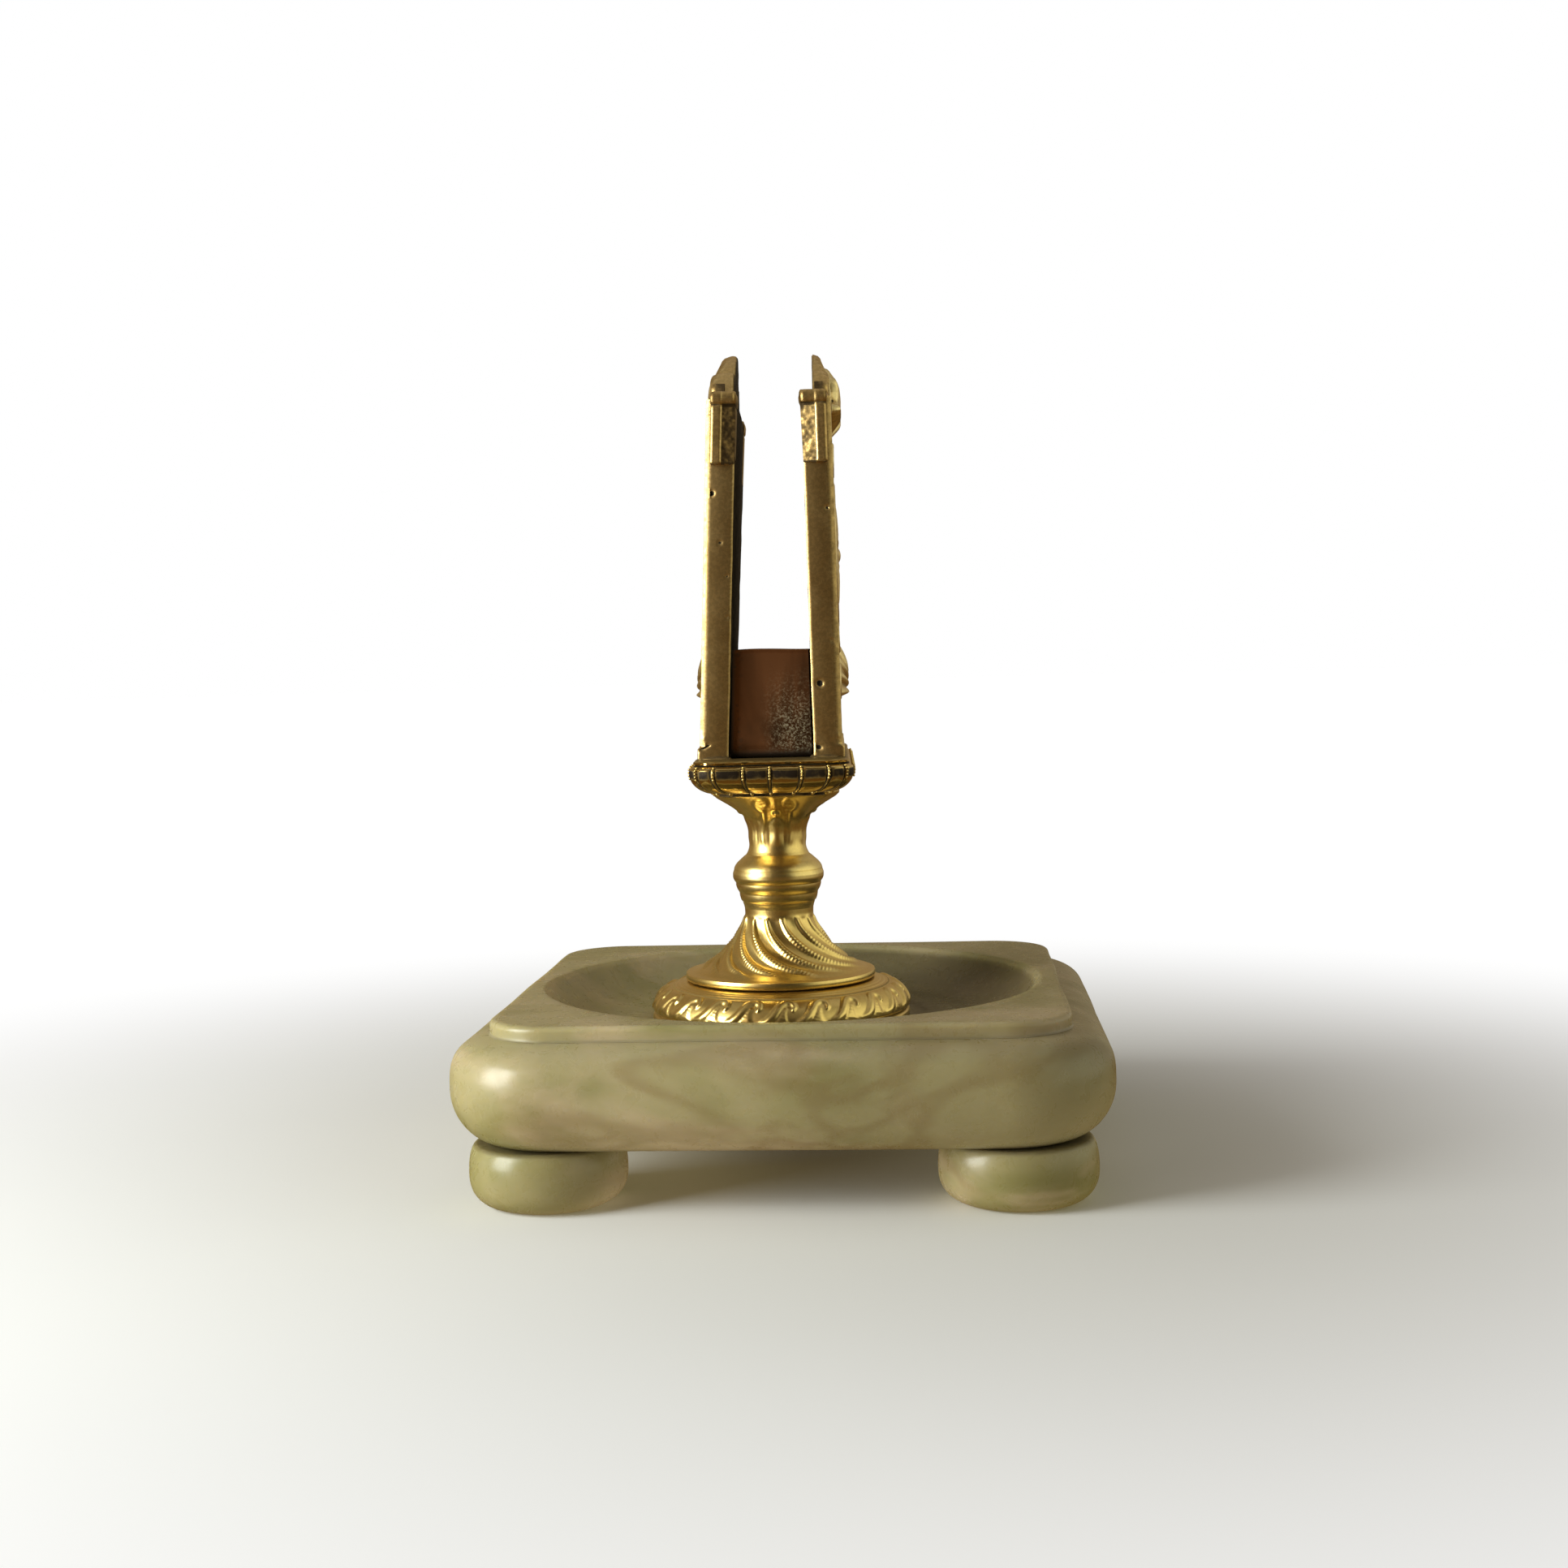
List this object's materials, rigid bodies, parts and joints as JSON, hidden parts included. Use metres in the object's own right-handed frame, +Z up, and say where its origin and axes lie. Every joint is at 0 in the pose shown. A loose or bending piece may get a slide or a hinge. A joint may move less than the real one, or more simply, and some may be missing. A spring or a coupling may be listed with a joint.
{
  "type": "table matchbox holder",
  "caption": "Table matchbox holder: two upright cast plates with a low pocket between them, on a turned brass stem that stands in a square onyx ash dish with bun feet.",
  "frame": {"origin": "on the table, below the middle of the dish", "axes": "+Z up; X across the two side plates, apart from the holder's small turn on the dish; Y along them, away from the near end of the pocket"},
  "size_m": [0.12, 0.118, 0.156],
  "materials": {
    "onyx": "polished onyx marble, pale green to beige, with cloudy brown and green veins",
    "gilt_brass": "polished and gilt, tarnished brown in the recesses",
    "cast_brass": "as cast, dull golden brown, with pits and bright worn edges",
    "copper_sheet": "dark reddish patina with black pits and pale green specks",
    "steel": "plain, darkened",
    "fibre": "matt red-brown fibre"
  },
  "bodies": {
    "dish": {"onyx_dish": "onyx", "foot_front_left": "onyx", "foot_front_right": "onyx", "foot_back_left": "onyx", "foot_back_right": "onyx", "foot_pin_front_left": "steel", "foot_pin_front_right": "steel", "foot_pin_back_left": "steel", "foot_pin_back_right": "steel", "wave_ring": "gilt_brass", "fibre_washer": "fibre"},
    "holder": {"spiral_foot": "gilt_brass", "ringed_knop": "gilt_brass", "acanthus_neck": "gilt_brass", "gadrooned_tray": "gilt_brass", "side_plate_left": "cast_brass", "side_plate_right": "cast_brass", "pocket_liner": "copper_sheet", "tie_rod": "steel", "steel_washer": "steel", "clamp_nut": "steel"}
  },
  "joints": [
    {"name": "holder_swivel", "type": "hinge", "parent": "dish", "child": "holder", "pos_m": [-0.0024, 0, 0.0343], "axis": [0, 0, 1], "continuous": true}
  ]
}
